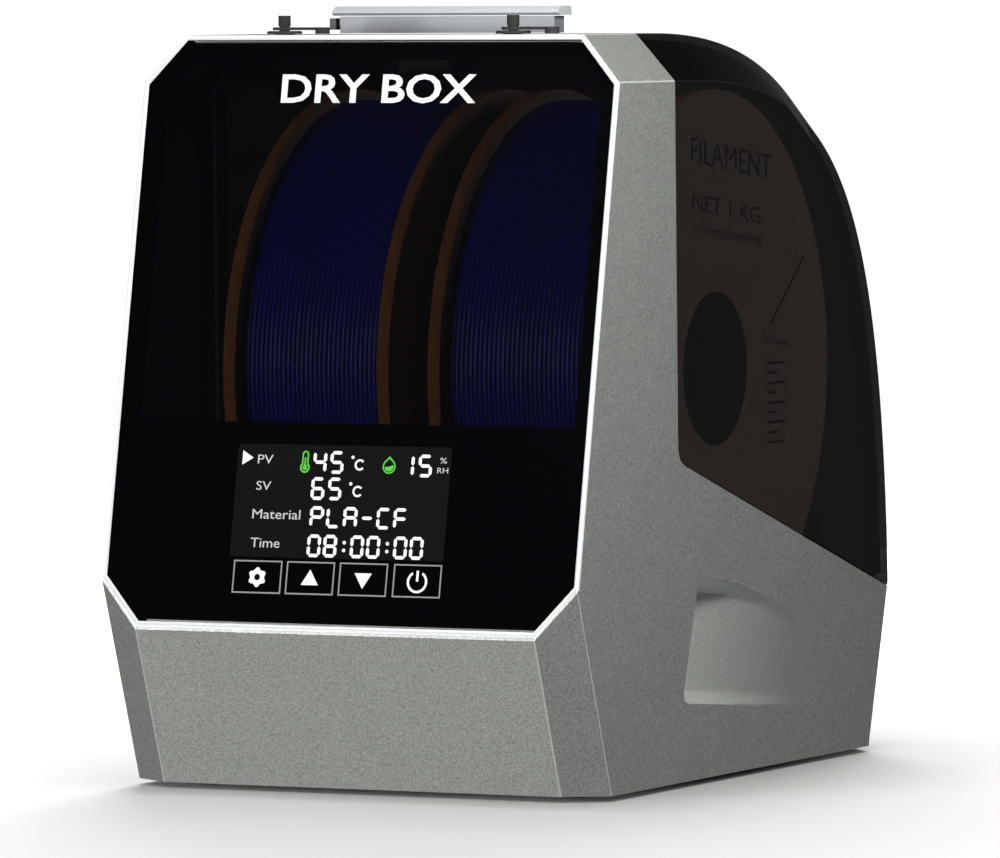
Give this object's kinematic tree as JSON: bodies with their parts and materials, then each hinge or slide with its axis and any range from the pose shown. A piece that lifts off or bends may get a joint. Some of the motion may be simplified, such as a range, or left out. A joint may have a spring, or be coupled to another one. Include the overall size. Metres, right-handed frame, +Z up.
{
  "type": "filament dryer box",
  "caption": "Tabletop filament dryer: silver housing with raked octagonal display front, smoked hinged lid, spools on rollers over a heater and fan.",
  "frame": {"origin": "on the supporting surface, under the middle of the box's overall footprint", "axes": "+X to the right seen from the front, +Y towards the hinged rear, +Z up; the front panel faces -Y"},
  "size_m": [0.185, 0.2966, 0.2748],
  "materials": {
    "silver_body": "fine-grained silver paint, satin",
    "bright_rim": "bright satin silver frame with bevelled edges",
    "smoked_window": "polished smoked sheet",
    "smoked_lid": "polished smoked shell",
    "black_mask": "gloss black printed backing",
    "display": "dark backlit display",
    "circuit_board": "solder-masked board",
    "dark_base": "moulded base, matte",
    "rubber": "matte rubber",
    "outlet_rubber": "soft matte rubber",
    "steel": "plain ground steel",
    "magnet": "nickel plated",
    "black_plastic": "black moulded plastic",
    "heater_alloy": "bare finned aluminium",
    "grey_plastic": "grey moulded plastic, satin",
    "tab_plastic": "dark grey moulded plastic",
    "nylon": "natural nylon",
    "cardboard": "brown pressed cardboard",
    "filament": "glossy blue strand, level wound"
  },
  "bodies": {
    "case": {"housing": "silver_body", "front_bezel": "bright_rim", "front_window": "smoked_window", "panel_mask": "black_mask", "display_module": "display", "control_board": "circuit_board", "power_board": "circuit_board", "base_plate": "dark_base", "foot_front_left": "rubber", "foot_front_right": "rubber", "foot_rear_left": "rubber", "foot_rear_right": "rubber", "lid_gasket": "rubber", "outlet_grommet_left": "outlet_rubber", "outlet_grommet_right": "outlet_rubber", "plug_tether_left": "outlet_rubber", "plug_tether_right": "outlet_rubber", "roller_shaft_front": "steel", "roller_shaft_rear": "steel", "hinge_pin_left": "steel", "hinge_pin_right": "steel", "base_screw_1": "steel", "base_screw_2": "steel", "base_screw_3": "steel", "base_screw_4": "steel", "catch_magnet": "magnet", "chamber_tray": "black_plastic", "fan_frame": "black_plastic", "power_inlet": "black_plastic", "heater": "heater_alloy", "hinge_bracket_left": "grey_plastic", "hinge_bracket_right": "grey_plastic", "roller_cradle_left": "grey_plastic", "roller_cradle_middle": "grey_plastic", "roller_cradle_right": "grey_plastic", "humidity_sensor": "nylon"},
    "lid": {"lid_dome": "smoked_lid", "lid_pull": "grey_plastic", "lid_pull_cap": "grey_plastic", "hinge_knuckle_left": "grey_plastic", "hinge_knuckle_right": "grey_plastic", "catch_plate": "steel"},
    "release": {"release_tab": "tab_plastic"},
    "plug_left": {"outlet_plug_left": "outlet_rubber"},
    "plug_right": {"outlet_plug_right": "outlet_rubber"},
    "fan": {"fan_rotor": "black_plastic"},
    "spool_left": {"spool_left": "cardboard", "filament_left": "filament"},
    "spool_right": {"spool_right": "cardboard", "filament_right": "filament"},
    "roller_front_left": {"roller_front_left": "black_plastic", "roller_bush_front_left": "nylon"},
    "roller_front_right": {"roller_front_right": "black_plastic", "roller_bush_front_right": "nylon"},
    "roller_rear_left": {"roller_rear_left": "black_plastic", "roller_bush_rear_left": "nylon"},
    "roller_rear_right": {"roller_rear_right": "black_plastic", "roller_bush_rear_right": "nylon"}
  },
  "joints": [
    {"name": "lid_hinge", "type": "hinge", "parent": "case", "child": "lid", "pos_m": [0, 0.1449, 0.0585], "axis": [-1, 0, 0], "range_deg": [0, 95]},
    {"name": "release_slide", "type": "slide", "parent": "lid", "child": "release", "axis": [1, 0, 0], "range_m": [0, 0.0018], "stiffness_N_per_m": 150, "springref_m": -0.001},
    {"name": "plug_left_lift", "type": "slide", "parent": "case", "child": "plug_left", "axis": [0, 0, 1], "range_m": [0, 0.012]},
    {"name": "plug_right_lift", "type": "slide", "parent": "case", "child": "plug_right", "axis": [0, 0, 1], "range_m": [0, 0.012]},
    {"name": "fan_spin", "type": "hinge", "parent": "case", "child": "fan", "pos_m": [0, 0.0115, 0.015], "axis": [0, 0, 1], "continuous": true},
    {"name": "spool_left_spin", "type": "hinge", "parent": "case", "child": "spool_left", "pos_m": [-0.0405, 0.0115, 0.1445], "axis": [1, 0, 0], "continuous": true},
    {"name": "roller_front_left_spin", "type": "hinge", "parent": "case", "child": "roller_front_left", "pos_m": [-0.0406, -0.0552, 0.0591], "axis": [1, 0, 0], "continuous": true},
    {"name": "roller_rear_left_spin", "type": "hinge", "parent": "case", "child": "roller_rear_left", "pos_m": [-0.0406, 0.0782, 0.0591], "axis": [1, 0, 0], "continuous": true},
    {"name": "spool_right_spin", "type": "hinge", "parent": "case", "child": "spool_right", "pos_m": [0.0405, 0.0115, 0.1445], "axis": [1, 0, 0], "continuous": true},
    {"name": "roller_front_right_spin", "type": "hinge", "parent": "case", "child": "roller_front_right", "pos_m": [0.0406, -0.0552, 0.0591], "axis": [1, 0, 0], "continuous": true},
    {"name": "roller_rear_right_spin", "type": "hinge", "parent": "case", "child": "roller_rear_right", "pos_m": [0.0406, 0.0782, 0.0591], "axis": [1, 0, 0], "continuous": true}
  ],
  "couplings": [
    {"joint": "roller_front_left_spin", "follows": "spool_left_spin", "ratio": -12.5},
    {"joint": "roller_rear_left_spin", "follows": "spool_left_spin", "ratio": -12.5},
    {"joint": "roller_front_right_spin", "follows": "spool_right_spin", "ratio": -12.5},
    {"joint": "roller_rear_right_spin", "follows": "spool_right_spin", "ratio": -12.5}
  ]
}
